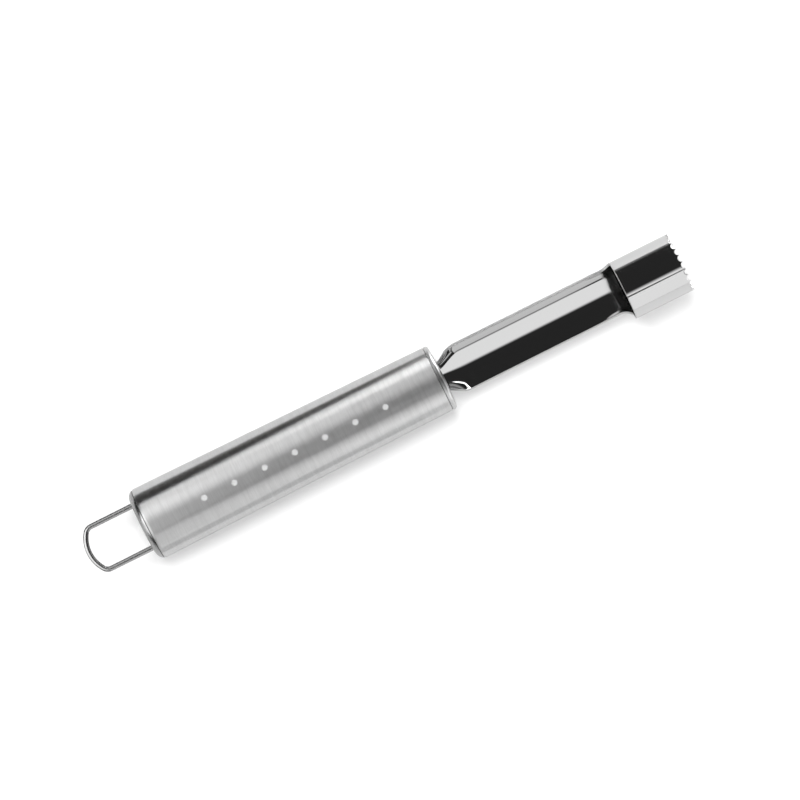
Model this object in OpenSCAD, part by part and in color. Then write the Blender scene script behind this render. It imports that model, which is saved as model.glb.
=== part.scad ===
// Apple corer in stainless steel, lying on its hollow handle.
// +X runs from the hanging loop to the cutting teeth, and +Z is up.
// The origin is on the floor, under the middle of the whole length.

/* [Handle] */
// Length from the rear cap's end face to the rim of the front cap's face
handle_len = 117.25; // [100:0.05:135]
// Radius of the handle just in front of its rear rounding
rear_r = 13.3; // [12.6:0.05:14.5]
// Radius of the handle at its front joint
front_r = 12.15; // [11.6:0.05:12.6]
// Wall thickness of the handle's shell
shell_t = 0.8; // [0.6:0.05:1.1]
// Radius of the rounding round the rear end
rear_round = 3.2; // [2.8:0.1:3.6]

/* [Recessed dots] */
// Number of shallow round recesses along the top of the handle
dot_count = 7; // [3:1:8]
// Diameter of one recess
dot_d = 2.2; // [1.6:0.1:3]
// Distance from one recess to the next
dot_pitch = 11.75; // [9:0.05:13]
// How far the row's middle lies in front of the handle's middle
dot_shift = 0.85; // [0:0.05:3]
// Depth of a recess below the top line of the shell
dot_depth = 0.25; // [0.15:0.05:0.4]
// Turn of the row of recesses about the handle's axis, in degrees
dot_turn = 2.7; // [0:0.1:10]

/* [Caps] */
// Length of the rear cap outside the shell, up to its joint line
rear_cap_len = 2.1; // [1.7:0.1:2.4]
// Length of the front cap outside the shell, from its joint line
front_cap_len = 1.75; // [1.4:0.05:2.4]
// Radius of the rounding round the front cap's face
front_round = 0.9; // [0.6:0.1:1.2]
// Height of the dome on the front cap's face
front_dome = 0.5; // [0.2:0.1:1]
// Thickness of a cap's end wall
cap_t = 1.2; // [0.9:0.1:1.3]
// Length of the skirt that a cap pushes into the shell
skirt_len = 6; // [4.5:0.5:10]
// Thickness of that skirt
skirt_t = 0.9; // [0.7:0.05:1.1]
// Clearance between a skirt and the shell
skirt_fit = 0.05; // [0.02:0.01:0.1]
// Edge break on each side of a joint line
joint_break = 0.15; // [0.1:0.05:0.25]

/* [Hanging loop] */
// Diameter of the wire
wire_d = 2; // [1.6:0.1:2.2]
// Distance between the wire's two legs, centre to centre
leg_span = 16.3; // [15:0.1:16.8]
// Reach of the loop behind the rear cap's end face
loop_reach = 21.85; // [17:0.05:30]
// Radius of the wire's bowed end, to the wire's centre
bow_r = 12.1; // [11:0.1:16]
// Radius of the two corners, to the wire's centre
corner_r = 3; // [2.4:0.1:3.6]
// Clearance round the wire in the rear cap's holes
wire_fit = 0.05; // [0.03:0.01:0.1]
// Radius of the bend inside the cap that turns each leg outwards, to the wire's centre
foot_bend_r = 1.5; // [1.3:0.1:1.6]
// Length of the straight foot after that bend
foot_len = 0.6; // [0.3:0.1:0.8]

/* [Blade] */
// Thickness of the blade's sheet
sheet_t = 1; // [0.8:0.05:1.2]
// Reach of the blade from the rim of the front cap's face to the tips of the teeth
blade_reach = 92.3; // [75:0.1:110]
// Outer radius of the closed cutting tube
tube_r = 10.85; // [10.75:0.05:11.5]
// Length of the cutting tube, teeth included
tube_len = 22.7; // [16:0.1:30]
// Height of the tube's axis above the handle's axis, before the blade is turned
tube_rise = 5.4; // [5:0.1:5.8]
// Turn of the blade about the handle's axis, in degrees
blade_turn = 15; // [0:1:30]
// How far the open trough's outer radius lies inside the tube's
flare_rise = 0.35; // [0.1:0.05:0.8]
// Angle that the trough's wall spans, in degrees
trough_span = 117.4; // [105:0.2:130]
// Length of the flare from the trough's radius to the tube's
flare_len = 3.5; // [2.5:0.1:6]
// Radius of the corner between the trough's rim and the tube's rear edge
mouth_round = 4.2; // [3:0.1:5]
// Edge break round the tube's rear edge
mouth_break = 0.25; // [0.1:0.05:0.35]

/* [Neck and tang] */
// Length of the neck between the front cap and the full width of the trough
neck_len = 9.2; // [6:0.1:12]
// How late the neck widens: at 1 it widens fastest at the cap, and above 1 a little later
neck_ease = 1.3; // [1:0.1:1.6]
// Outer radius of the half-round tang
tang_r = 5.8; // [5.2:0.1:6.4]
// Angle that the tang's wall spans, in degrees
tang_span = 180; // [150:2:190]
// Length of the tang behind the rim of the front cap's face
tang_len = 30; // [15:1:60]
// Clearance round the tang in the front cap's slot
tang_fit = 0.1; // [0.05:0.05:0.2]

/* [Seam and teeth] */
// Width of the lengthwise seam at the tube's rear edge
seam_rear = 0.4; // [0.2:0.05:0.6]
// Width of the seam at the teeth
seam_front = 0.15; // [0.1:0.05:0.3]
// Number of teeth round the tube
tooth_count = 26; // [20:1:32]
// Depth of the round notches between the teeth
tooth_depth = 1.05; // [0.8:0.05:1.3]

/* [Hidden] */
$fn = 96;
// How far a cutting shape runs past the surface that it cuts
past = 1;
// Bands in which a small rounding or a flare is turned
arc_steps = 8;
// The lofted neck is this much thinner all round than the walls that its two ends sink into
neck_lap = 0.02;
// Length over which each end of the neck sinks into such a wall
neck_sink = 0.3;
// Sections along the neck, and facets across it
neck_steps = 14;
neck_facets = 22;
// Facets of the cutter that opens the trough, round the tube's axis
mouth_facets = 10;
// Sides of the swept wire
wire_sides = 20;

// Stations along the length, counted from the rear cap's end face
rear_joint = rear_cap_len;
front_joint = handle_len - front_cap_len;
neck_start = handle_len + front_dome;
trough_start = handle_len + neck_len;
blade_end = handle_len + blade_reach;
tube_start = blade_end - tube_len;
middle = (blade_end - loop_reach) / 2;

// The rear cap's skirt goes in through the shell's narrowest place, its rear opening
rear_skirt_r = round_r(rear_joint, shell_t) - skirt_fit;
wire_r = wire_d / 2;
leg_y = leg_span / 2;
// Angle from the loop's axis at which its bowed end runs into a corner
bow_half = asin((leg_y - corner_r) / (bow_r - corner_r));
bow_x = wire_r + bow_r - loop_reach;
corner_x = bow_x - (bow_r - corner_r) * cos(bow_half);
foot_x = cap_t + wire_fit;

trough_r = tube_r - flare_rise;
// Height of the sheet's underside in the trough and the tang, from the handle's axis
trough_floor = tube_rise - trough_r;
trough_half = trough_span / 2;
tang_half = tang_span / 2;
// Angle that the mouth's corner takes up on the tube
corner_turn = mouth_round / tube_r * 180 / PI;
corner_start = tube_start - mouth_round;
// The notches meet in cusps on the tube's outer surface
notch_half = tube_r * sin(180 / tooth_count);
notch_r = (notch_half * notch_half + tooth_depth * tooth_depth) / (2 * tooth_depth);

// Outer radius of the handle at a station between its rear rounding and its front joint
function taper_r(x) = rear_r + (front_r - rear_r) * (x - rear_round) / (front_joint - rear_round);
// Radius at a station on the rear rounding, for a surface that lies a depth below it
function round_r(x, depth) =
    rear_r - rear_round + sqrt(pow(rear_round - depth, 2) - pow(rear_round - x, 2));
// Points of an arc from angle a0 to a1
function arc(centre, r, a0, a1) =
    [for (i = [0:arc_steps]) let (a = a0 + (a1 - a0) * i / arc_steps) centre + r * [cos(a), sin(a)]];
// Points of the rear rounding from station x0 to x1, for a surface that lies a depth below it
function rounding(x0, x1, depth) =
    let (r = rear_round - depth,
         a0 = 180 - acos((rear_round - x0) / r),
         a1 = 180 - acos((rear_round - x1) / r))
    arc([rear_round, rear_r - rear_round], r, a0, a1);
// An even S from 0 to 1
function ease(t) = t * t * (3 - 2 * t);
// The flare of the blade's wall, for a surface that lies a depth below the outer one
function flare(depth) =
    [for (i = [0:arc_steps]) [tube_start - flare_len * (1 - i / arc_steps),
        trough_r + (tube_r - trough_r) * ease(i / arc_steps) - depth]];
function swapped(points) = [for (p = points) [p.y, p.x]];
function reversed(points) = [for (i = [1:len(points)]) points[len(points) - i]];

// Moves what is drawn round the handle's axis to its place on the floor
module on_floor() {
    translate([-middle, 0, rear_r])
        children();
}

// Moves what is drawn in the blade's own frame to its place, turned about the handle's axis
module blade_place() {
    on_floor()
        rotate([blade_turn, 0, 0])
            children();
}

// Turns a profile of [station, radius] points about the X axis, from an angle counted from straight down
module turned(points, from = 0, span = 360) {
    rotate([0, 90, 0])
        rotate([0, 0, from])
            rotate_extrude(angle = span)
                polygon(swapped(points));
}

// A band of wall between two stations and two radii, round half an angle to each side of straight down
module band(x0, x1, r0, r1, half) {
    turned([[x0, r0], [x1, r0], [x1, r1], [x0, r1]], -half, 2 * half);
}

module handle_shell() {
    inner_end = taper_r(front_joint) - shell_t;
    color("silver")
        on_floor()
            difference() {
                turned(concat(
                    rounding(rear_joint + joint_break, rear_round, 0),
                    [[front_joint - joint_break, taper_r(front_joint - joint_break)],
                     [front_joint, front_r - joint_break],
                     [front_joint, inner_end]],
                    reversed(rounding(rear_joint, rear_round, shell_t)),
                    [[rear_joint, round_r(rear_joint, 0) - joint_break]]));
                dots();
            }
}

// The row of shallow round recesses
module dots() {
    for (i = [0:dot_count - 1]) {
        x = handle_len / 2 + dot_shift + (i - (dot_count - 1) / 2) * dot_pitch;
        rotate([dot_turn, 0, 0])
            translate([x, 0, taper_r(x) - dot_depth])
                cylinder(d = dot_d, h = dot_depth + past, $fn = 32);
    }
}

module front_cap() {
    skirt_end = front_joint - skirt_len;
    seat_r = taper_r(front_joint) - shell_t - skirt_fit;
    end_r = taper_r(skirt_end) - shell_t - skirt_fit;
    face_r = front_r - front_round;
    wall_x = neck_start - cap_t;
    dome = [for (i = [1:arc_steps]) let (share = i / arc_steps)
        [handle_len + front_dome * (1 - pow(1 - share, 2)), face_r * (1 - share)]];
    color("gainsboro")
        on_floor()
            difference() {
                turned(concat(
                    [[front_joint, front_r - joint_break],
                     [front_joint + joint_break, front_r]],
                    arc([handle_len - front_round, face_r], front_round, 90, 0),
                    dome,
                    [[wall_x, 0],
                     [wall_x, seat_r - skirt_t],
                     [skirt_end, end_r - skirt_t],
                     [skirt_end, end_r],
                     [front_joint, seat_r]]));
                rotate([blade_turn, 0, 0])
                    translate([0, 0, trough_floor + tang_r])
                        band(skirt_end, neck_start + past, tang_r - sheet_t - tang_fit, tang_r + tang_fit,
                            tang_half + tang_fit / tang_r * 180 / PI);
            }
}

module rear_cap() {
    skirt_end = rear_joint + skirt_len;
    color("gainsboro")
        on_floor()
            difference() {
                turned(concat(
                    [[0, 0]],
                    rounding(0, rear_joint - joint_break, 0),
                    [[rear_joint, round_r(rear_joint, 0) - joint_break],
                     [rear_joint, rear_skirt_r],
                     [skirt_end, rear_skirt_r],
                     [skirt_end, rear_skirt_r - skirt_t],
                     [cap_t, rear_skirt_r - skirt_t],
                     [cap_t, 0]]));
                for (side = [-1, 1])
                    translate([-past, side * leg_y, 0])
                        rotate([0, 90, 0])
                            cylinder(r = wire_r + wire_fit, h = cap_t + 2 * past, $fn = 48);
            }
}

// One wire, swept along half of the loop from the middle of the bow to the end of a foot, and mirrored
module hanging_loop() {
    half_path = concat(
        bend([bow_x, 0], bow_r, 180, 180 - bow_half),
        bend([corner_x, leg_y - corner_r], corner_r, 180 - bow_half, 90),
        bend([foot_x, leg_y + foot_bend_r], foot_bend_r, -90, 0),
        [[foot_x + foot_bend_r, leg_y + foot_bend_r + foot_len, 90]]);
    other_half = [for (p = reversed(half_path)) [p.x, -p.y, 180 - p.z]];
    color("darkgray")
        on_floor()
            wire(concat(other_half, [for (i = [1:len(half_path) - 1]) half_path[i]]));
}

// Points of a bend in the loop's plane, each with the direction in which the wire runs there
function bend(centre, r, a0, a1) =
    let (steps = ceil(abs(a1 - a0) / 8), turn = a1 > a0 ? 90 : -90)
    [for (i = [0:steps]) let (a = a0 + (a1 - a0) * i / steps)
        [centre.x + r * cos(a), centre.y + r * sin(a), a + turn]];

// Sweeps the wire's round section along points that each hold x, y and a direction
module wire(path) {
    n = wire_sides;
    last = len(path) - 1;
    points = [for (p = path, k = [0:n - 1]) let (a = 360 * k / n)
        [p.x - wire_r * cos(a) * sin(p.z), p.y + wire_r * cos(a) * cos(p.z), wire_r * sin(a)]];
    sides = [for (i = [0:last - 1], k = [0:n - 1])
        [i * n + k, (i + 1) * n + k, (i + 1) * n + (k + 1) % n, i * n + (k + 1) % n]];
    ends = [[for (k = [0:n - 1]) k], [for (k = [0:n - 1]) last * n + n - 1 - k]];
    polyhedron(points, concat(sides, ends));
}

// One sheet: half-round tang, neck that widens, open trough, and tube rolled up to a seam
module corer_blade() {
    color("lightgray")
        blade_place() {
            translate([0, 0, trough_floor + tang_r])
                band(handle_len - tang_len, neck_start, tang_r - sheet_t, tang_r, tang_half);
            neck();
            translate([0, 0, tube_rise])
                difference() {
                    turned(concat(
                        [[trough_start, trough_r]],
                        flare(0),
                        [[blade_end, tube_r],
                         [blade_end, tube_r - sheet_t]],
                        reversed(flare(sheet_t)),
                        [[trough_start, trough_r - sheet_t]]));
                    mouth();
                    seam();
                    notches();
                }
        }
}

// The wall that is open above the trough, up to the tube's rear edge, with two round corners.
// Each row of points holds a station and the angle at which the opening starts there, so that
// every edge is cut square to the sheet.
module mouth() {
    radii = [trough_r - sheet_t - past, tube_r + past];
    rows = concat([[trough_start - past, trough_half]], [for (p = arc([0, 1], 1, -90, 0))
        [corner_start + mouth_round * p.x, trough_half + corner_turn * p.y]]);
    points = [for (row = rows, r = radii, c = [0:mouth_facets])
        let (a = row.y + (360 - 2 * row.y) * c / mouth_facets)
        [row.x, r * sin(a), -r * cos(a)]];
    last = len(rows) - 1;
    top = mouth_facets;
    function at(row, layer, c) = (2 * row + layer) * (mouth_facets + 1) + c;
    skins = [for (i = [0:last - 1], c = [0:top - 1])
        each concat(
            halves(at(i, 1, c), at(i + 1, 1, c), at(i + 1, 1, c + 1), at(i, 1, c + 1)),
            halves(at(i, 0, c), at(i, 0, c + 1), at(i + 1, 0, c + 1), at(i + 1, 0, c)))];
    edges = [for (i = [0:last - 1])
        each concat(
            halves(at(i, 0, 0), at(i + 1, 0, 0), at(i + 1, 1, 0), at(i, 1, 0)),
            halves(at(i, 0, top), at(i, 1, top), at(i + 1, 1, top), at(i + 1, 0, top)))];
    ends = [for (c = [0:top - 1])
        each concat(
            halves(at(0, 0, c), at(0, 1, c), at(0, 1, c + 1), at(0, 0, c + 1)),
            halves(at(last, 0, c), at(last, 0, c + 1), at(last, 1, c + 1), at(last, 1, c)))];
    polyhedron(points, concat(skins, edges, ends));
    turned([[tube_start - past, tube_r - mouth_break - past],
            [tube_start + mouth_break + past, tube_r + past],
            [tube_start - past, tube_r + past]],
        trough_half + 1.1 * corner_turn, 360 - trough_span - 2.2 * corner_turn);
}

// The two triangles of a four-sided face
function halves(a, b, c, d) = [[a, b, c], [a, c, d]];

// The seam where the sheet's two edges face each other along the top of the tube
module seam() {
    x0 = corner_start;
    x1 = blade_end + past;
    translate([0, 0, tube_r - sheet_t - past])
        linear_extrude(sheet_t + 2 * past)
            polygon([[x0, -seam_rear / 2], [x1, -seam_front / 2], [x1, seam_front / 2], [x0, seam_rear / 2]]);
}

// The round notches that leave pointed teeth between them
module notches() {
    for (i = [0:tooth_count - 1])
        rotate([(i + 0.5) * 360 / tooth_count, 0, 0])
            translate([blade_end + notch_r - tooth_depth, 0, tube_r - sheet_t - past])
                cylinder(r = notch_r, h = sheet_t + 2 * past, $fn = 48);
}

// Points round one section of the neck's wall: along its underside, then back along its upper side
function neck_section(x, share) =
    let (r = tang_r + (trough_r - tang_r) * share,
         half = tang_half + (trough_half - tang_half) * share - neck_lap / r * 180 / PI,
         under = [for (i = [0:neck_facets]) [half * (2 * i / neck_facets - 1), r - neck_lap]],
         upper = [for (p = reversed(under)) [p.x, r - sheet_t + neck_lap]])
    [for (p = concat(under, upper)) [x, p.y * sin(p.x), trough_floor + r - p.y * cos(p.x)]];

// The neck widens from the tang's section to the trough's over one straight floor
module neck() {
    x0 = neck_start - neck_sink;
    x1 = trough_start + neck_sink;
    sections = [for (i = [0:neck_steps])
        let (x = x0 + (x1 - x0) * i / neck_steps,
             share = min(1, max(0, (x - neck_start) / (trough_start - neck_start))))
        neck_section(x, sin(90 * pow(share, neck_ease)))];
    loop = 2 * (neck_facets + 1);
    last = neck_steps * loop;
    sides = [for (i = [0:neck_steps - 1], j = [0:loop - 1])
        [i * loop + j, (i + 1) * loop + j, (i + 1) * loop + (j + 1) % loop, i * loop + (j + 1) % loop]];
    rear_end = [for (j = [0:neck_facets - 1]) [j, j + 1, loop - 2 - j, loop - 1 - j]];
    front_end = [for (face = rear_end) [for (k = reversed(face)) last + k]];
    polyhedron([for (section = sections, point = section) point], concat(sides, rear_end, front_end));
}

handle_shell();
front_cap();
rear_cap();
hanging_loop();
corer_blade();
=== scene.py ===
import math

import bmesh
import bpy
from mathutils import Matrix, Vector


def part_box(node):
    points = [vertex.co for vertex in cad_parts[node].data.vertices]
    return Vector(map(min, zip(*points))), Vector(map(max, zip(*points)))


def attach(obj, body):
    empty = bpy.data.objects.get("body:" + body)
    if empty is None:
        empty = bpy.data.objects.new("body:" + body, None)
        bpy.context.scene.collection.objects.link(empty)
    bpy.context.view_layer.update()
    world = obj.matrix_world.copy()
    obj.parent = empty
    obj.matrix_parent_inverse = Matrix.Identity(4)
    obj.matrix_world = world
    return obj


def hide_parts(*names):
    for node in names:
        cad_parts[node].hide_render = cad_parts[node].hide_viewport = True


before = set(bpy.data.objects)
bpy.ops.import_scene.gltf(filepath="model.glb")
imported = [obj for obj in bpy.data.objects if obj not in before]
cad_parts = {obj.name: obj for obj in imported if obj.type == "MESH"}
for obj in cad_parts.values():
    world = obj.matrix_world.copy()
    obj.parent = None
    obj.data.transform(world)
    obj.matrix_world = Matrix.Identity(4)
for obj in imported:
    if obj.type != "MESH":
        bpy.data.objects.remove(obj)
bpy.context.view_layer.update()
MM = 0.001

# The camera hangs straight above the corer with a long lens. It is turned about the vertical, so
# the corer runs up to the right across the picture.
CAMERA_AIM = Vector((6.5, -0.7, 13.3)) * MM
CAMERA_HEIGHT = 1.9
VIEW_WIDTH = 0.28
CAMERA_TURN = math.radians(26.6)
SENSOR = 36

scene = bpy.context.scene
camera = bpy.data.objects.new("camera", bpy.data.cameras.new("camera"))
camera.data.sensor_width = SENSOR
camera.data.lens = SENSOR * CAMERA_HEIGHT / VIEW_WIDTH
camera.location = CAMERA_AIM + Vector((0, 0, CAMERA_HEIGHT))
camera.rotation_euler = (0, 0, -CAMERA_TURN)
scene.collection.objects.link(camera)
scene.camera = camera
scene.view_settings.view_transform = "Standard"

# Handle shell: a tapered tube of 0.8 mm stainless sheet, spun over at the rear and brushed round its
# girth on a belt. Seven shallow round recesses with etched floors run along its top.
rear_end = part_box("rear_cap")[0].x / MM
shell_low, shell_high = [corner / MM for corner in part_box("handle_shell")]
rear_r = shell_high.z / 2
front_r = 12.15
rear_round = 3.2
shell_t = 0.8
joint_break = 0.15
joint_depth = 0.4
rear_joint = shell_low.x - rear_end
front_joint = shell_high.x - rear_end
TURNS = 240
SHARP_ANGLE = math.radians(32)
SAME_POINT = 1e-5


def taper_r(station):
    return rear_r + (front_r - rear_r) * (station - rear_round) / (front_joint - rear_round)


def round_r(station, depth):
    reach = math.sqrt((rear_round - depth) ** 2 - (rear_round - station) ** 2)
    return rear_r - rear_round + reach


def rounding(first, last, depth, steps=16):
    """Points of the rear rounding between two stations, for a surface that lies a depth below it."""
    radius = rear_round - depth
    a0, a1 = [math.acos((rear_round - station) / radius) for station in (first, last)]
    return [
        (rear_round - radius * math.cos(a), rear_r - rear_round + radius * math.sin(a))
        for a in (a0 + (a1 - a0) * i / steps for i in range(steps + 1))
    ]


def finished(name, mesh, material):
    """Puts a mesh made in mm round the handle's axis in its place, smooth-shaded, with its material."""
    mesh.transform(Matrix.Translation((rear_end * MM, 0, rear_r * MM)) @ Matrix.Scale(MM, 4))
    mesh.materials.clear()
    mesh.materials.append(material)
    mesh.shade_smooth()
    mesh.set_sharp_from_angle(angle=SHARP_ANGLE)
    piece = bpy.data.objects.new(name, mesh)
    scene.collection.objects.link(piece)
    return piece


def lathe(name, profile):
    """Turns a closed profile of (station, radius) points about the handle's axis."""
    shape = bmesh.new()
    rings = []
    for station, radius in profile:
        angles = [2 * math.pi * k / TURNS for k in range(TURNS)]
        ring = [shape.verts.new((station, radius * math.sin(a), radius * math.cos(a))) for a in angles]
        rings.append(ring)
    for i, ring in enumerate(rings):
        following = rings[(i + 1) % len(rings)]
        if profile[i][1] == 0 and profile[(i + 1) % len(rings)][1] == 0:
            continue
        for k in range(TURNS):
            other = (k + 1) % TURNS
            shape.faces.new((ring[k], following[k], following[other], ring[other]))
    bmesh.ops.remove_doubles(shape, verts=shape.verts, dist=SAME_POINT)
    mesh = bpy.data.meshes.new(name)
    shape.to_mesh(mesh)
    shape.free()
    return mesh


def linear(colour):
    """An sRGB hex colour as linear red, green, blue and alpha."""
    values = [int(colour[i : i + 2], 16) / 255 for i in (1, 3, 5)]
    return [v / 12.92 if v <= 0.04045 else ((v + 0.055) / 1.055) ** 2.4 for v in values] + [1]


def add(tree, kind, inputs=None, **settings):
    """Adds a node with its settings. An input is a value, or another node's output to link."""
    node = tree.nodes.new(kind)
    for name, value in settings.items():
        setattr(node, name, value)
    for socket, value in (inputs or {}).items():
        if isinstance(value, bpy.types.NodeSocket):
            tree.links.new(value, node.inputs[socket])
        else:
            node.inputs[socket].default_value = value
    return node


def new_finish(name):
    """An empty material, its tree, and its shader with the shader wired to the output."""
    material = bpy.data.materials.new(name)
    material.use_nodes = True
    tree = material.node_tree
    tree.nodes.clear()
    shader = add(tree, "ShaderNodeBsdfPrincipled", {"Metallic": 1})
    add(tree, "ShaderNodeOutputMaterial", {"Surface": shader.outputs["BSDF"]})
    return material, tree, shader


# How many scratches and broader streaks there are in a metre, along the handle and round its girth.
SCRATCHES = (2800, 260, 260)
STREAKS = (700, 30, 30)


def brushed_steel(name, light, dark, roughness, anisotropy, relief):
    """Stainless steel brushed round the girth by a belt. The scratches run across the handle, so it
    mirrors fairly sharply round the girth and blurs along the handle. The real scratches are 0.05 mm
    apart, which no render shows, so they are drawn 0.4 mm apart along the handle and 4 mm long."""
    material, tree, shader = new_finish(name)
    place = add(tree, "ShaderNodeTexCoord").outputs["Object"]
    fine = add(tree, "ShaderNodeMapping", {"Vector": place, "Scale": SCRATCHES})
    coarse = add(tree, "ShaderNodeMapping", {"Vector": place, "Scale": STREAKS})
    scratches = add(tree, "ShaderNodeTexNoise", {"Vector": fine.outputs[0], "Scale": 1.0, "Detail": 3.0})
    streaks = add(tree, "ShaderNodeTexNoise", {"Vector": coarse.outputs[0], "Scale": 1.0, "Detail": 2.0})
    mixed = add(
        tree,
        "ShaderNodeMath",
        {0: scratches.outputs["Fac"], 1: streaks.outputs["Fac"]},
        operation="ADD",
    )
    tone = add(
        tree,
        "ShaderNodeMapRange",
        {"Value": mixed.outputs[0], "From Min": 0.7, "From Max": 1.3, "To Min": 0.0, "To Max": 1.0},
    )
    steel = add(
        tree,
        "ShaderNodeMix",
        {0: tone.outputs[0], 6: linear(dark), 7: linear(light)},
        data_type="RGBA",
    )
    rough = add(
        tree,
        "ShaderNodeMapRange",
        {
            "Value": scratches.outputs["Fac"],
            "From Min": 0.3,
            "From Max": 0.7,
            "To Min": roughness * 0.9,
            "To Max": roughness * 1.1,
        },
    )
    bump = add(
        tree,
        "ShaderNodeBump",
        {"Strength": relief, "Distance": 0.00002, "Height": scratches.outputs["Fac"]},
    )
    girth = add(tree, "ShaderNodeTangent", direction_type="RADIAL", axis="X")
    tree.links.new(steel.outputs[2], shader.inputs["Base Color"])
    tree.links.new(rough.outputs[0], shader.inputs["Roughness"])
    tree.links.new(bump.outputs[0], shader.inputs["Normal"])
    tree.links.new(girth.outputs[0], shader.inputs["Tangent"])
    shader.inputs["Anisotropic"].default_value = anisotropy
    shader.inputs["Anisotropic Rotation"].default_value = 0.25
    return material


shell_steel = brushed_steel(
    "stainless steel brushed round the girth",
    light="#dadada",
    dark="#cdcdcd",
    roughness=0.33,
    anisotropy=1.0,
    relief=0.2,
)

# The etched floors of the recesses: chemically frosted steel, pale and without a mirror image.
etched_steel, tree, shader = new_finish("frosted etched steel")
place = add(tree, "ShaderNodeTexCoord").outputs["Object"]
grain = add(tree, "ShaderNodeTexNoise", {"Vector": place, "Scale": 9000.0, "Detail": 3.0})
tone = add(
    tree,
    "ShaderNodeMix",
    {0: grain.outputs["Fac"], 6: linear("#d2d2d2"), 7: linear("#e2e2e2")},
    data_type="RGBA",
)
bump = add(tree, "ShaderNodeBump", {"Strength": 0.2, "Distance": 0.00002, "Height": grain.outputs["Fac"]})
tree.links.new(tone.outputs[2], shader.inputs["Base Color"])
tree.links.new(bump.outputs[0], shader.inputs["Normal"])
shader.inputs["Roughness"].default_value = 0.6
shader.inputs["Metallic"].default_value = 0.6

shell_points = rounding(rear_joint + joint_break, rear_round, 0)
ROWS = 60
for i in range(1, ROWS + 1):
    station = rear_round + (front_joint - joint_break - rear_round) * i / ROWS
    shell_points.append((station, taper_r(station)))
shell_points.append((front_joint, front_r - joint_depth))
shell_points.append((front_joint, front_r - shell_t))
shell_points += rounding(rear_joint, rear_round, shell_t)[::-1]
shell_points.append((rear_joint, round_r(rear_joint, 0) - joint_depth))
plain_shell = finished("plain_shell", lathe("plain_shell", shell_points), shell_steel)

# The recesses are cut by a row of round cutters, which follows the taper of the shell's top line
# and leans a little to one side with it.
dot_count = 7
dot_d = 2.2
dot_pitch = 11.75
dot_shift = 0.85
dot_depth = 0.25
dot_turn = math.radians(2.7)
front_dome = 0.5
handle_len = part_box("front_cap")[1].x / MM - rear_end - front_dome

recess_row = bpy.data.node_groups.new("row of recesses", "GeometryNodeTree")
sockets = recess_row.interface
sockets.new_socket("Geometry", in_out="INPUT", socket_type="NodeSocketGeometry")
count_in = sockets.new_socket("Count", in_out="INPUT", socket_type="NodeSocketInt")
start_in = sockets.new_socket("First floor", in_out="INPUT", socket_type="NodeSocketVector")
step_in = sockets.new_socket("Step", in_out="INPUT", socket_type="NodeSocketVector")
radius_in = sockets.new_socket("Radius", in_out="INPUT", socket_type="NodeSocketFloat")
lean_in = sockets.new_socket("Lean", in_out="INPUT", socket_type="NodeSocketVector")
sockets.new_socket("Geometry", in_out="OUTPUT", socket_type="NodeSocketGeometry")
CUTTER_H = 2 * MM
given = add(recess_row, "NodeGroupInput")
row = add(
    recess_row,
    "GeometryNodeMeshLine",
    {
        "Count": given.outputs["Count"],
        "Start Location": given.outputs["First floor"],
        "Offset": given.outputs["Step"],
    },
)
cutter = add(
    recess_row,
    "GeometryNodeMeshCylinder",
    {"Vertices": 40, "Radius": given.outputs["Radius"], "Depth": CUTTER_H},
)
raised = add(
    recess_row,
    "GeometryNodeTransform",
    {"Geometry": cutter.outputs["Mesh"], "Translation": (0, 0, CUTTER_H / 2)},
)
floors = add(
    recess_row,
    "GeometryNodeSetMaterial",
    {"Geometry": raised.outputs["Geometry"], "Material": etched_steel},
)
cutters = add(
    recess_row,
    "GeometryNodeInstanceOnPoints",
    {
        "Points": row.outputs["Mesh"],
        "Instance": floors.outputs["Geometry"],
        "Rotation": given.outputs["Lean"],
    },
)
loose = add(recess_row, "GeometryNodeRealizeInstances", {"Geometry": cutters.outputs["Instances"]})
cut = add(
    recess_row,
    "GeometryNodeMeshBoolean",
    {"Mesh 1": given.outputs["Geometry"], "Mesh 2": loose.outputs["Geometry"]},
    operation="DIFFERENCE",
    solver="EXACT",
)
whole = add(recess_row, "GeometryNodeRealizeInstances", {"Geometry": cut.outputs["Mesh"]})
outside = add(recess_row, "GeometryNodeMaterialSelection", {"Material": shell_steel})
coated = add(
    recess_row,
    "GeometryNodeSetMaterial",
    {"Geometry": whole.outputs[0], "Selection": outside.outputs[0], "Material": shell_steel},
)
add(recess_row, "NodeGroupOutput", {"Geometry": coated.outputs[0]})


def on_shell(station, height):
    """A point over the line of recesses, that height above the handle's axis, in metres."""
    return Vector(
        (
            (rear_end + station) * MM,
            -height * math.sin(dot_turn) * MM,
            (rear_r + height * math.cos(dot_turn)) * MM,
        )
    )


first_dot = handle_len / 2 + dot_shift - (dot_count - 1) / 2 * dot_pitch
first_floor = on_shell(first_dot, taper_r(first_dot) - dot_depth)
second_floor = on_shell(first_dot + dot_pitch, taper_r(first_dot + dot_pitch) - dot_depth)


def baked(piece, group, values, name):
    """Runs a node tree on a piece and returns the plain mesh it makes as a new object."""
    modifier = piece.modifiers.new("tree", "NODES")
    modifier.node_group = group
    for socket, value in values.items():
        modifier[socket.identifier] = value
    graph = bpy.context.evaluated_depsgraph_get()
    graph.update()
    mesh = bpy.data.meshes.new_from_object(piece.evaluated_get(graph))
    mesh.name = name
    bpy.data.objects.remove(piece)
    made = bpy.data.objects.new(name, mesh)
    scene.collection.objects.link(made)
    return made


shell = baked(
    plain_shell,
    recess_row,
    {
        count_in: dot_count,
        start_in: first_floor,
        step_in: second_floor - first_floor,
        radius_in: dot_d / 2 * MM,
        lean_in: Vector((dot_turn, 0, 0)),
    },
    "brushed_handle_shell",
)
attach(shell, "root")
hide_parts("handle_shell")

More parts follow.
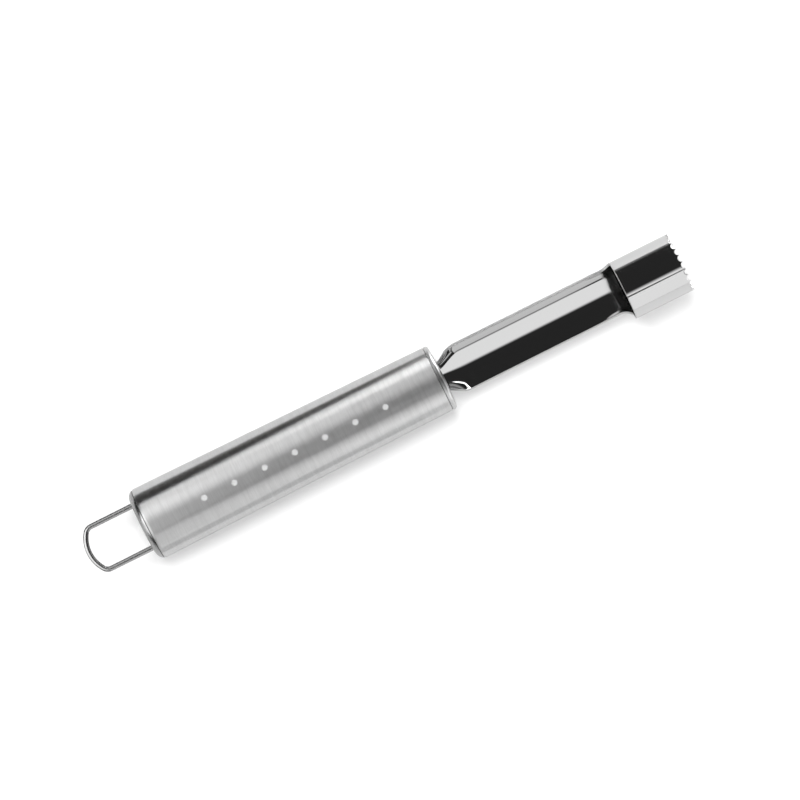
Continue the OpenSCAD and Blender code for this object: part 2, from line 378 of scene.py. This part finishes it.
# Front cap: a spun steel cap pressed into the front of the shell, polished, with a slightly domed
# face and a half-round slot through which the blade's tang goes in.
front_round = 0.9
cap_t = 1.2
skirt_len = 6
skirt_t = 0.9
skirt_fit = 0.05
blade_turn = math.radians(15)
sheet_t = 1
tang_r = 5.8
tang_fit = 0.1
trough_floor = -5.1
SLIVER = 0.001
CUT_PAST = 1


def cut_out(mesh, cutter_mesh):
    """Cuts one mesh out of another with an exact boolean and returns the new mesh."""
    kept = bpy.data.objects.new("kept", mesh)
    cutter_piece = bpy.data.objects.new("cutter", cutter_mesh)
    for piece in (kept, cutter_piece):
        scene.collection.objects.link(piece)
    modifier = kept.modifiers.new("cut", "BOOLEAN")
    modifier.operation = "DIFFERENCE"
    modifier.solver = "EXACT"
    modifier.object = cutter_piece
    graph = bpy.context.evaluated_depsgraph_get()
    graph.update()
    made = bpy.data.meshes.new_from_object(kept.evaluated_get(graph))
    for piece in (kept, cutter_piece):
        bpy.data.objects.remove(piece)
    # A cut leaves slivers thinner than a thousandth of a millimetre, which are closed up.
    shape = bmesh.new()
    shape.from_mesh(made)
    bmesh.ops.remove_doubles(shape, verts=shape.verts, dist=SLIVER)
    bmesh.ops.dissolve_degenerate(shape, dist=SLIVER, edges=shape.edges)
    shape.to_mesh(made)
    shape.free()
    return made


def prism(outline, first, last):
    """A solid along the handle between two stations, from an outline of (y, z) points that runs
    anticlockwise as seen from the front."""
    shape = bmesh.new()
    ends = [[shape.verts.new((station, y, z)) for y, z in outline] for station in (first, last)]
    count = len(outline)
    for k in range(count):
        other = (k + 1) % count
        shape.faces.new((ends[0][k], ends[0][other], ends[1][other], ends[1][k]))
    shape.faces.new(ends[0][::-1])
    shape.faces.new(ends[1])
    bmesh.ops.recalc_face_normals(shape, faces=shape.faces)
    mesh = bpy.data.meshes.new("cutter")
    shape.to_mesh(mesh)
    shape.free()
    return mesh


def polished_steel(name, colour, roughness, waviness):
    """Polished stainless steel: a clear mirror image, a little soft from buffing, and slightly wavy."""
    material, tree, shader = new_finish(name)
    place = add(tree, "ShaderNodeTexCoord").outputs["Object"]
    waves = add(tree, "ShaderNodeTexNoise", {"Vector": place, "Scale": 180.0, "Detail": 1.0})
    haze = add(tree, "ShaderNodeTexNoise", {"Vector": place, "Scale": 900.0, "Detail": 3.0})
    rough = add(
        tree,
        "ShaderNodeMapRange",
        {"Value": haze.outputs["Fac"], "To Min": roughness * 0.7, "To Max": roughness * 1.3},
    )
    bump = add(
        tree,
        "ShaderNodeBump",
        {"Strength": waviness, "Distance": 0.0001, "Height": waves.outputs["Fac"]},
    )
    tree.links.new(rough.outputs[0], shader.inputs["Roughness"])
    tree.links.new(bump.outputs[0], shader.inputs["Normal"])
    shader.inputs["Base Color"].default_value = linear(colour)
    return material


# The front cap was polished on a soft wheel, which leaves a satin sheen and hardly any scratches.
cap_steel = brushed_steel(
    "satin polished stainless steel",
    light="#d6d6d6",
    dark="#cacaca",
    roughness=0.32,
    anisotropy=0.5,
    relief=0.12,
)

ARC = 12
face_r = front_r - front_round
neck_start = handle_len + front_dome
skirt_end = front_joint - skirt_len
seat_r = taper_r(front_joint) - shell_t - skirt_fit
end_r = taper_r(skirt_end) - shell_t - skirt_fit
cap_points = [(front_joint, front_r - joint_depth), (front_joint + joint_break, front_r)]
for i in range(ARC + 1):
    a = math.pi / 2 * (1 - i / ARC)
    cap_points.append(
        (handle_len - front_round + front_round * math.cos(a), face_r + front_round * math.sin(a))
    )
for i in range(1, ARC + 1):
    share = i / ARC
    cap_points.append((handle_len + front_dome * (1 - (1 - share) ** 2), face_r * (1 - share)))
cap_points += [
    (neck_start - cap_t, 0),
    (neck_start - cap_t, seat_r - skirt_t),
    (skirt_end, end_r - skirt_t),
    (skirt_end, end_r),
    (front_joint, seat_r),
]
slot = []
SLOT_STEPS = 40
slot_centre = trough_floor + tang_r
for radius, order in ((tang_r + tang_fit, 1), (tang_r - sheet_t - tang_fit, -1)):
    for i in range(SLOT_STEPS + 1):
        a = order * (math.pi / 2 + tang_fit / tang_r) * (2 * i / SLOT_STEPS - 1)
        y, z = radius * math.sin(a), slot_centre - radius * math.cos(a)
        slot.append(
            (
                y * math.cos(blade_turn) - z * math.sin(blade_turn),
                y * math.sin(blade_turn) + z * math.cos(blade_turn),
            )
        )
slot_cutter = prism(slot, skirt_end - CUT_PAST, neck_start + CUT_PAST)
front_mesh = cut_out(lathe("front_cap", cap_points), slot_cutter)
front_cap = finished("polished_front_cap", front_mesh, cap_steel)
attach(front_cap, "root")
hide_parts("front_cap")

# Rear cap: a spun steel cap pressed into the shell's rear opening. Its end face is flat, its edge
# carries on the shell's rounding, and the wire comes out through two round holes.
wire_r = 1
wire_fit = 0.05
leg_y = 8.15
HOLE_SIDES = 48
rear_skirt_r = round_r(rear_joint, shell_t) - skirt_fit
rear_skirt_end = rear_joint + skirt_len
rear_points = [(0, 0)]
rear_points += rounding(0, rear_joint - joint_break, 0)
rear_points += [
    (rear_joint, round_r(rear_joint, 0) - joint_depth),
    (rear_joint, rear_skirt_r),
    (rear_skirt_end, rear_skirt_r),
    (rear_skirt_end, rear_skirt_r - skirt_t),
    (cap_t, rear_skirt_r - skirt_t),
    (cap_t, 0),
]
rear_mesh = lathe("rear_cap", rear_points)
for side in (-1, 1):
    hole = []
    for k in range(HOLE_SIDES):
        a = 2 * math.pi * k / HOLE_SIDES
        radius = wire_r + wire_fit
        hole.append((side * leg_y + radius * math.cos(a), radius * math.sin(a)))
    rear_mesh = cut_out(rear_mesh, prism(hole, -CUT_PAST, cap_t + CUT_PAST))
# The rear cap has the same finish, but its colour is painted darker: painted shade that dims the bright
# reflection it would show.
rear_cap_steel_with_painted_shade = brushed_steel(
    "satin polished stainless steel, darkened as painted shade",
    light="#aeaeae",
    dark="#a0a0a0",
    roughness=0.26,
    anisotropy=0.6,
    relief=0.12,
)
rear_cap = finished("polished_rear_cap", rear_mesh, rear_cap_steel_with_painted_shade)
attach(rear_cap, "root")
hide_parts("rear_cap")

# Hanging loop: one length of 2 mm stainless spring wire, bright drawn. Its two ends go in through the
# rear cap and turn outwards behind it, which holds the loop in place.
loop_reach = rear_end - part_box("hanging_loop")[0].x / MM
bow_r = 12.1
corner_r = 3
foot_bend_r = 1.5
foot_len = 0.6
BEND_STEP = math.radians(2)
bow_half = math.asin((leg_y - corner_r) / (bow_r - corner_r))
bow_x = wire_r + bow_r - loop_reach
corner_x = bow_x - (bow_r - corner_r) * math.cos(bow_half)
foot_x = cap_t + wire_fit


def bend(centre_x, centre_y, radius, first, last):
    """Points of a bend of the wire's centre line, about two degrees apart."""
    steps = math.ceil(abs(last - first) / BEND_STEP)
    angles = [first + (last - first) * i / steps for i in range(steps + 1)]
    return [(centre_x + radius * math.cos(a), centre_y + radius * math.sin(a), 0) for a in angles]


half_path = bend(bow_x, 0, bow_r, math.pi, math.pi - bow_half)
half_path += bend(corner_x, leg_y - corner_r, corner_r, math.pi - bow_half, math.pi / 2)[1:]
half_path += bend(foot_x, leg_y + foot_bend_r, foot_bend_r, -math.pi / 2, 0)
half_path.append((foot_x + foot_bend_r, leg_y + foot_bend_r + foot_len, 0))
other_half = [(x, -y, z) for x, y, z in reversed(half_path[1:])]
path = other_half + half_path
line = bpy.data.curves.new("wire_path", "CURVE")
line.dimensions = "3D"
spline = line.splines.new("POLY")
spline.points.add(len(path) - 1)
for point, place in zip(spline.points, path):
    point.co = (*place, 1)
wire_path = bpy.data.objects.new("wire_path", line)
scene.collection.objects.link(wire_path)

wire_sweep = bpy.data.node_groups.new("wire along a path", "GeometryNodeTree")
sockets = wire_sweep.interface
sockets.new_socket("Geometry", in_out="INPUT", socket_type="NodeSocketGeometry")
wire_in = sockets.new_socket("Wire radius", in_out="INPUT", socket_type="NodeSocketFloat")
sockets.new_socket("Geometry", in_out="OUTPUT", socket_type="NodeSocketGeometry")
# The wire was drawn through a die, which leaves it bright but a little soft, and greyer than the sheet.
wire_steel = polished_steel("bright drawn stainless wire", "#acacac", roughness=0.26, waviness=0.05)
given = add(wire_sweep, "NodeGroupInput")
section = add(
    wire_sweep,
    "GeometryNodeCurvePrimitiveCircle",
    {"Resolution": 40, "Radius": given.outputs["Wire radius"]},
)
swept = add(
    wire_sweep,
    "GeometryNodeCurveToMesh",
    {"Curve": given.outputs["Geometry"], "Profile Curve": section.outputs["Curve"], "Fill Caps": True},
)
whole = add(wire_sweep, "GeometryNodeRealizeInstances", {"Geometry": swept.outputs["Mesh"]})
coated = add(wire_sweep, "GeometryNodeSetMaterial", {"Geometry": whole.outputs[0], "Material": wire_steel})
add(wire_sweep, "NodeGroupOutput", {"Geometry": coated.outputs[0]})
swept_wire = baked(wire_path, wire_sweep, {wire_in: wire_r}, "swept_wire")
loop = finished("bright_wire_loop", swept_wire.data.copy(), wire_steel)
bpy.data.objects.remove(swept_wire)
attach(loop, "root")
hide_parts("hanging_loop")

# Blade: one 1 mm stainless sheet, pressed and rolled, then mirror polished. The half-round tang sits
# in the handle, the neck widens to an open trough, and the trough rolls up to a tube that ends in
# round-notched teeth. The sheet's two edges meet in a seam along the top of the tube.
blade_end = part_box("corer_blade")[1].x / MM - rear_end
tube_r = 10.85
tube_len = 22.7
tube_rise = 5.4
trough_r = tube_rise - trough_floor
trough_half = 58.7
flare_len = 3.5
mouth_round = 4.2
neck_len = 9.2
neck_ease = 1.3
lip_turn = 11
lip_fade = 10
tang_half = 90
tang_len = 30
seam_rear = 0.4
seam_front = 0.15
tooth_count = 26
tooth_depth = 1.05
tube_start = blade_end - tube_len
trough_start = handle_len + neck_len
corner_start = tube_start - mouth_round
corner_turn = math.degrees(mouth_round / tube_r)
notch_half = tube_r * math.sin(math.pi / tooth_count)
notch_r = (notch_half**2 + tooth_depth**2) / (2 * tooth_depth)
# How far the rounded edges reach into the sheet's faces: along the trough's rim, at the tube's rear
# edge, at the seam and at the teeth, and how deep they go into its thickness.
rim_inset, mouth_inset, seam_inset, tooth_inset, edge_depth = 0.1, 0.2, 0.06, 0.05, 0.1


def section_at(station):
    """Outer radius, half angle in degrees and arc centre's height of the blade's wall."""
    if station < trough_start:
        share = max(0, (station - neck_start) / (trough_start - neck_start))
        share = math.sin(math.pi / 2 * share**neck_ease)
        radius = tang_r + (trough_r - tang_r) * share
        return radius, tang_half + (trough_half - tang_half) * share, trough_floor + radius
    t = min(1, max(0, 1 - (tube_start - station) / flare_len))
    return trough_r + (tube_r - trough_r) * t * t * (3 - 2 * t), trough_half, tube_rise


def wall_point(station, radius, centre, a, depth):
    """A point of the wall at an angle from straight down. Rolls can't grip a sheet's edge, so along the
    trough the last few degrees of the wall below each rim stay flat."""
    y, z = (radius - depth) * math.sin(a), -(radius - depth) * math.cos(a)
    lip = math.radians(trough_half - lip_turn)
    flat = min((station - neck_start) / (trough_start - neck_start), (corner_start - station) / lip_fade)
    if abs(a) > lip and flat > 0:
        run = (abs(a) - lip) * (radius - sheet_t / 2)
        flat_y = math.copysign((radius - depth) * math.sin(lip) + run * math.cos(lip), a)
        flat_z = -(radius - depth) * math.cos(lip) + run * math.sin(lip)
        flat = min(1, flat) ** 2 * (3 - 2 * min(1, flat))
        y, z = y + (flat_y - y) * flat, z + (flat_z - z) * flat
    return station, y, centre + z


# The columns of the sheet's grid, as angles from straight down. They are finer than the teeth and
# follow the round corner between the trough's rim and the tube's rear edge.
tooth_pitch = 360 / tooth_count
COLUMNS_PER_TOOTH = 12
COLUMN_GAP = 0.3
CORNER_STEPS = 15
corner_top = trough_half + corner_turn
corner_columns = [
    corner_top - corner_turn * math.cos(math.pi / 2 * i / CORNER_STEPS) for i in range(CORNER_STEPS)
]
corner_columns.append(corner_top)
columns = list(corner_columns)
for k in range(COLUMNS_PER_TOOTH * tooth_count // 2 - 1):
    angle = k * tooth_pitch / COLUMNS_PER_TOOTH
    if min(abs(angle - other) for other in corner_columns) > COLUMN_GAP:
        columns.append(angle)
columns.append(180)
columns.sort()
columns = [-angle for angle in columns[:0:-1]] + columns

# The rows: tang, neck and trough have stations, and in front of the corner a row is a share of the
# way from the sheet's rear edge to the teeth. They are close together at the corner and the teeth.
NECK_LEAD = 1
NECK_ROWS = 36
TROUGH_ROWS = 12
MOUTH_ROWS = 14
MOUTH_SHARE = 0.18
TUBE_ROWS = 10
TUBE_SHARE = 0.98
TOOTH_SHARES = [0.992, 1]
rear_rows = [handle_len - tang_len, handle_len - tang_len / 2, neck_start - NECK_LEAD]
rear_rows += [neck_start + (trough_start - neck_start) * i / NECK_ROWS for i in range(NECK_ROWS + 1)]
rear_rows += [
    trough_start + (corner_start - trough_start) * i / TROUGH_ROWS for i in range(1, TROUGH_ROWS)
]
front_rows = [MOUTH_SHARE * i / MOUTH_ROWS for i in range(MOUTH_ROWS)]
front_rows += [MOUTH_SHARE + (TUBE_SHARE - MOUTH_SHARE) * i / TUBE_ROWS for i in range(TUBE_ROWS + 1)]
front_rows += TOOTH_SHARES


def tube_point(angle, t, depth, inset):
    """A point in front of the corner: t runs from the sheet's rear edge to the teeth, depth is below
    the outer face, and inset is the share of the edges' rounding that is taken off."""
    side, turn = (1 if angle >= 0 else -1), abs(angle)
    if turn <= trough_half:
        shifted = turn * (1 - math.degrees(rim_inset * inset / trough_r) / trough_half)
        start = corner_start
    elif turn < corner_top:
        a = math.asin((turn - corner_top) / corner_turn)
        shifted = turn - math.degrees(rim_inset * inset / tube_r) * abs(math.sin(a))
        start = corner_start + (mouth_round + mouth_inset * inset) * math.cos(a)
    else:
        shifted = turn
        start = tube_start + mouth_inset * inset
    turn = turn + (shifted - turn) * (1 - t)
    inner = tube_r - depth
    offset = abs((turn / tooth_pitch) % 1 - 0.5) * tooth_pitch
    across = inner * math.sin(math.radians(offset))
    end = blade_end + notch_r - tooth_depth - math.sqrt(notch_r**2 - across**2) - tooth_inset * inset
    station = start + (end - start) * t
    radius, _, centre = section_at(station)
    if turn == 180:
        width = seam_rear + (seam_front - seam_rear) * (station - tube_start) / tube_len
        turn = 180 - math.degrees(math.asin((width / 2 + seam_inset * inset) / (radius - depth)))
    return wall_point(station, radius, centre, math.radians(side * turn), depth)


def trough_point(angle, station, depth, inset):
    """A point of the tang, neck or trough. Its columns are those of the tube below the rim."""
    radius, half, centre = section_at(station)
    half -= math.degrees(rim_inset * inset / radius)
    return wall_point(station, radius, centre, math.radians(angle / trough_half * half), depth)


def blade_point(row, column, depth, inset):
    if row < len(rear_rows):
        return trough_point(columns[column], rear_rows[row], depth, inset)
    return tube_point(columns[column], front_rows[row - len(rear_rows)], depth, inset)


row_count = len(rear_rows) + len(front_rows)
low_column = min(c for c, angle in enumerate(columns) if angle >= -trough_half - 1e-6)
high_column = len(columns) - 1 - low_column
quads = []
for row in range(row_count - 1):
    whole_row = row >= len(rear_rows)
    first, last = (0, len(columns) - 1) if whole_row else (low_column, high_column)
    for c in range(first, last):
        quads.append(((row, c), (row, c + 1), (row + 1, c + 1), (row + 1, c)))
directed = {(quad[i], quad[(i + 1) % 4]) for quad in quads for i in range(4)}
border = [edge for edge in directed if (edge[1], edge[0]) not in directed]

EDGE_STEPS = 4
quarter = [math.pi / 2 * i / EDGE_STEPS for i in range(EDGE_STEPS + 1)]
rim = [(edge_depth * (1 - math.cos(q)), 1 - math.sin(q)) for q in quarter]
rim += [(sheet_t - depth, inset) for depth, inset in reversed(rim)]
shape = bmesh.new()
verts = {}


def blade_vert(place, layer):
    if (place, layer) not in verts:
        verts[(place, layer)] = shape.verts.new(blade_point(*place, *rim[layer]))
    return verts[(place, layer)]


inner_layer = len(rim) - 1
for quad in quads:
    shape.faces.new([blade_vert(place, 0) for place in quad])
    shape.faces.new([blade_vert(place, inner_layer) for place in reversed(quad)])
for a, b in border:
    for layer in range(inner_layer):
        shape.faces.new(
            (blade_vert(b, layer), blade_vert(a, layer), blade_vert(a, layer + 1), blade_vert(b, layer + 1))
        )
bmesh.ops.rotate(shape, verts=shape.verts, cent=(0, 0, 0), matrix=Matrix.Rotation(blade_turn, 3, "X"))
blade_mesh = bpy.data.meshes.new("blade")
shape.to_mesh(blade_mesh)
shape.free()


def ramp(tree, value, start, end):
    """Rises softly from 0 at start to 1 at end, or falls if start is the higher one."""
    low, high, first, last = (start, end, 0.0, 1.0) if start < end else (end, start, 1.0, 0.0)
    node = add(
        tree,
        "ShaderNodeMapRange",
        {"Value": value, "From Min": low, "From Max": high, "To Min": first, "To Max": last},
        interpolation_type="SMOOTHSTEP",
    )
    return node.outputs[0]


# The sheet was polished to a mirror after forming, and only the step between trough and tube, which
# the wheel can't reach, stays duller. The dull zone fades in and out between these distances from
# the tube's start.
blade_steel = polished_steel("mirror polished stainless sheet", "#d8d8d8", roughness=0.045, waviness=0.012)
STEP_ROUGHNESS = 0.16
STEP_FADES = ((-5.2, -3.6), (0.6, -0.2))
tree = blade_steel.node_tree
shader = next(node for node in tree.nodes if node.type == "BSDF_PRINCIPLED")
place = add(tree, "ShaderNodeTexCoord").outputs["Object"]
along = add(tree, "ShaderNodeSeparateXYZ", {0: place}).outputs["X"]
polished = shader.inputs["Roughness"].links[0].from_socket
zone = 1.0
for outer, inner in STEP_FADES:
    share = ramp(tree, along, (rear_end + tube_start + outer) * MM, (rear_end + tube_start + inner) * MM)
    zone = add(tree, "ShaderNodeMath", {0: share, 1: zone}, operation="MULTIPLY").outputs[0]
rough = add(tree, "ShaderNodeMix", {0: zone, 2: polished, 3: STEP_ROUGHNESS}, data_type="FLOAT")
tree.links.new(rough.outputs[0], shader.inputs["Roughness"])
# The sheet's cut edges are ground, not polished, so they shine softly and mirror nothing.
ground_steel = polished_steel("ground stainless edge", "#c6c6c6", roughness=0.5, waviness=0.1)
blade = finished("mirror_polished_blade", blade_mesh, blade_steel)
blade.data.materials.append(ground_steel)
first_edge_face = 2 * len(quads)
for face in blade.data.polygons[first_edge_face:]:
    face.material_index = 1
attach(blade, "root")
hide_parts("corer_blade")

# The floor is a large sheet of matt white board.
FLOOR_SIDE = 12
shape = bmesh.new()
bmesh.ops.create_grid(shape, x_segments=1, y_segments=1, size=FLOOR_SIDE / 2)
floor_mesh = bpy.data.meshes.new("floor")
shape.to_mesh(floor_mesh)
shape.free()
floor = bpy.data.objects.new("floor", floor_mesh)
scene.collection.objects.link(floor)
board, tree, shader = new_finish("matt white board")
shader.inputs["Metallic"].default_value = 0
shader.inputs["Roughness"].default_value = 0.9
shader.inputs["Specular IOR Level"].default_value = 0.0
shader.inputs["Base Color"].default_value = linear("#f4f4f4")
floor_mesh.materials.append(board)

# A large soft light hangs a little to the +Y side. It lights the board and throws the short shadow
# on the other side, and the steel doesn't mirror it.
SOFT_LIGHT_TURN = math.radians(-17)
SOFT_LIGHT_REACH = 1.2
SOFT_LIGHT_SIZE = 0.6
soft_light = bpy.data.objects.new("soft_light", bpy.data.lights.new("soft_light", "AREA"))
soft_light.data.shape = "DISK"
soft_light.data.size = SOFT_LIGHT_SIZE
soft_light.data.energy = 9.5
soft_light.location = (
    0,
    -SOFT_LIGHT_REACH * math.sin(SOFT_LIGHT_TURN),
    SOFT_LIGHT_REACH * math.cos(SOFT_LIGHT_TURN),
)
soft_light.rotation_euler = (SOFT_LIGHT_TURN, 0, 0)
soft_light.visible_glossy = False
scene.collection.objects.link(soft_light)

# Cards of matt paper that only the steel mirrors. A low dark one stands on the +Y side and draws the
# dark line along its flank. A black disc in the tube is painted shade: it stands in for the shade inside
# the tube and keeps its inside dark. Grey paper lies on the board, with a greyer sheet on its -Y side
# and a black strip along that sheet's edge.
DARK_CARD_Y = 0.062
DARK_CARD_TOP = ((0.03, 0.019), (0.0045, 0.0205), (-0.085, 0.038), (-0.6, 0.039))
DISC_SIDES = 32
DISC_FROM_TEETH = 5.2
DISC_GAP = 0.15
PAPER_X, PAPER_Y, PAPER_Z = (-1.2, 1.2), (-1, 1), 0.0002
SHEET_X, SHEET_Y, SHEET_Z = (-1.2, 0.02), (-1, -0.051), 0.0004
STRIP_X, STRIP_Y, STRIP_Z = (-0.6, 0.02), (-0.053, -0.05), 0.0008


def upright_card(y, top):
    """Corners of a card that stands on the board, under a top line of (x, z) points."""
    line = [(top[0][0], 0), *top, (top[-1][0], 0)]
    return [(x, y, z) for x, z in line]


def flat_card(across_x, across_y, z):
    """Corners of a card that lies flat."""
    turns = ((0, 0), (1, 0), (1, 1), (0, 1))
    return [(across_x[i], across_y[j], z) for i, j in turns]


def tube_disc(station, radius):
    """Corners of a disc across the cutting tube."""
    y, z = -tube_rise * math.sin(blade_turn), rear_r + tube_rise * math.cos(blade_turn)
    angles = [2 * math.pi * k / DISC_SIDES for k in range(DISC_SIDES)]
    corners = [(rear_end + station, y + radius * math.sin(a), z + radius * math.cos(a)) for a in angles]
    return [Vector(corner) * MM for corner in corners]


def hang(name, mesh):
    """Hangs a card or a cloth that only the steel mirrors."""
    hung = bpy.data.objects.new(name, mesh)
    scene.collection.objects.link(hung)
    hung.visible_camera = False
    hung.visible_diffuse = False
    hung.visible_shadow = False


CARDS = {
    "dark_card": ("#202020", upright_card(DARK_CARD_Y, DARK_CARD_TOP)),
    # The black disc is painted shade inside the tube, seen only in the steel's reflections.
    "painted_shade_disc": ("#202020", tube_disc(blade_end - DISC_FROM_TEETH, tube_r - sheet_t - DISC_GAP)),
    "grey_paper": ("#c8c8c8", flat_card(PAPER_X, PAPER_Y, PAPER_Z)),
    "grey_sheet": ("#acacac", flat_card(SHEET_X, SHEET_Y, SHEET_Z)),
    "black_strip": ("#101010", flat_card(STRIP_X, STRIP_Y, STRIP_Z)),
}
for name, (colour, corners) in CARDS.items():
    shape = bmesh.new()
    shape.faces.new([shape.verts.new(corner) for corner in corners])
    card_mesh = bpy.data.meshes.new(name)
    shape.to_mesh(card_mesh)
    shape.free()
    paper, tree, shader = new_finish(f"matt paper of the {name}")
    shader.inputs["Metallic"].default_value = 0
    shader.inputs["Roughness"].default_value = 1.0
    shader.inputs["Base Color"].default_value = linear(colour)
    card_mesh.materials.append(paper)
    hang(name, card_mesh)

# The studio: a near tent of cloth over the handle, open over the blade, and a far dark tent round it.
# Both are lit in fields, which the camera and the board don't see. A field is its strength, the
# angles from straight up (+ toward -Y) where it starts to rise, is full, starts to fall and is dark
# again, and the same four places along the corer in metres.
EVERYWHERE = (-9.0, -8.0, 8.0, 9.0)
REAR = (-3.0, -2.0, -0.21, -0.15)
MIDDLE = (-0.21, -0.15, 0.02, 0.03)
FRONT = (0.13, 0.17, 2.0, 3.0)
BLADE_WINDOW = (-0.02, 0.0, 0.24, 0.27)
NEAR_FIELDS = (
    (2.0, (-58, -38, 30, 60), REAR),
    (0.7, (-48, -34, -20, 0), REAR),
    (1.0, (-72, -56, -42, 0), MIDDLE),
    (1.1, (30, 48, 110, 120), MIDDLE),
    (9.5, (-110, -100, -84, -42), FRONT),
    (0.5, (-50, -34, -24, 10), FRONT),
    (2.4, (50, 80, 110, 120), FRONT),
)
FAR_FIELDS = (
    (1.0, (13, 26, 110, 120), BLADE_WINDOW),
    (0.85, (44, 54, 110, 120), (0.28, 0.31, 0.6, 0.7)),
    (0.3, (-120, -110, -92, -76), EVERYWHERE),
)
TENT_STEPS = 48
TENT_HALF = math.radians(100)
DARK_CLOTH = 0.025
TENTS = {
    "near_tent": (0.35, ((-1.2, 0.02), (0.145, 1.2)), NEAR_FIELDS),
    "far_tent": (1.5, ((-2.5, 2.5),), FAR_FIELDS),
}


def lit_cloth(name, fields):
    """A cloth that shines in the fields and is nearly dark elsewhere."""
    cloth = bpy.data.materials.new(name)
    cloth.use_nodes = True
    tree = cloth.node_tree
    tree.nodes.clear()
    place = add(tree, "ShaderNodeTexCoord").outputs["Object"]
    axes = add(tree, "ShaderNodeSeparateXYZ", {0: place})
    along = axes.outputs["X"]
    back = add(tree, "ShaderNodeMath", {0: axes.outputs["Y"], 1: -1.0}, operation="MULTIPLY")
    turn = add(tree, "ShaderNodeMath", {0: back.outputs[0], 1: axes.outputs["Z"]}, operation="ARCTAN2")
    total = DARK_CLOTH
    for strength, turns, places in fields:
        t0, t1, t2, t3 = [math.radians(t) for t in turns]
        x0, x1, x2, x3 = places
        field = strength
        edges = ((turn.outputs[0], t0, t1), (turn.outputs[0], t3, t2), (along, x0, x1), (along, x3, x2))
        for value, start, end in edges:
            soft = ramp(tree, value, start, end)
            field = add(tree, "ShaderNodeMath", {0: soft, 1: field}, operation="MULTIPLY").outputs[0]
        total = add(tree, "ShaderNodeMath", {0: field, 1: total}).outputs[0]
    light = add(tree, "ShaderNodeEmission", {"Strength": total})
    add(tree, "ShaderNodeOutputMaterial", {"Surface": light.outputs[0]})
    return cloth


for name, (radius, spans, fields) in TENTS.items():
    shape = bmesh.new()
    angles = [TENT_HALF * (2 * k / TENT_STEPS - 1) for k in range(TENT_STEPS + 1)]
    arc = [(-radius * math.sin(a), radius * math.cos(a)) for a in angles]
    for span in spans:
        rows = [[shape.verts.new((x, y, z)) for y, z in arc] for x in span]
        for k in range(TENT_STEPS):
            shape.faces.new((rows[0][k], rows[1][k], rows[1][k + 1], rows[0][k + 1]))
    tent_mesh = bpy.data.meshes.new(name)
    shape.to_mesh(tent_mesh)
    shape.free()
    tent_mesh.materials.append(lit_cloth(f"cloth of the {name}", fields))
    hang(name, tent_mesh)

# Beyond the tents everything is the same white, which fills the shadows.
world = bpy.data.worlds.new("pale surroundings")
scene.world = world
world.use_nodes = True
world.node_tree.nodes["Background"].inputs["Color"].default_value = (1, 1, 1, 1)
world.node_tree.nodes["Background"].inputs["Strength"].default_value = 1.0
